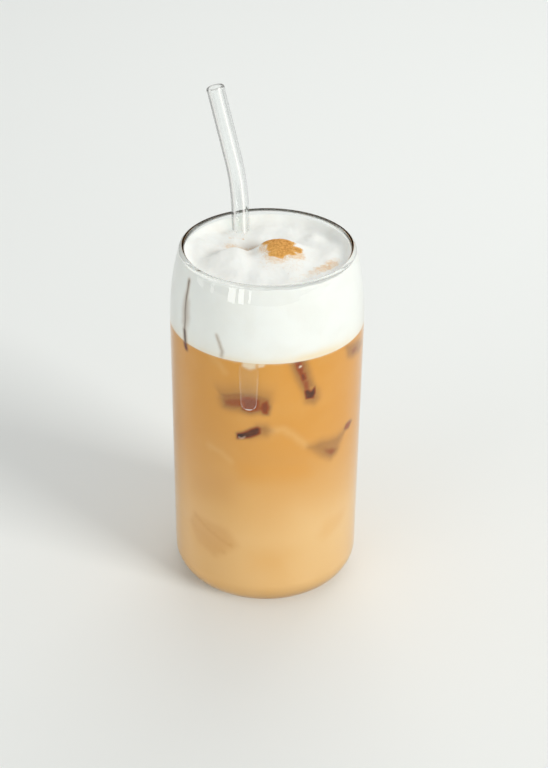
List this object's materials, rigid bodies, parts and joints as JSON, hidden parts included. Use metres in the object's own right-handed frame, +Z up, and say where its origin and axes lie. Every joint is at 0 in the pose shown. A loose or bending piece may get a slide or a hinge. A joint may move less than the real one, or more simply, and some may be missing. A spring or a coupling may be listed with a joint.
{
  "type": "iced coffee",
  "caption": "Iced milk coffee in a tall clear tumbler with a rounded shoulder and heel, under a thick layer of milk foam dusted with brown powder, with a bent glass straw.",
  "frame": {"origin": "centre of the tumbler's flat base", "axes": "+Z up along the tumbler's axis; -Y is the front that the picture shows, and the straw leans back towards +Y and bends to -X above the rim"},
  "size_m": [0.076, 0.076, 0.1991],
  "materials": {
    "tumbler": "thin clear glass",
    "coffee": "opaque milk coffee",
    "milk_foam": "fine matt milk foam",
    "straw": "clear glass tube"
  },
  "bodies": {
    "root": {"tumbler": "tumbler", "coffee": "coffee", "milk_foam": "milk_foam", "straw": "straw"}
  },
  "joints": []
}
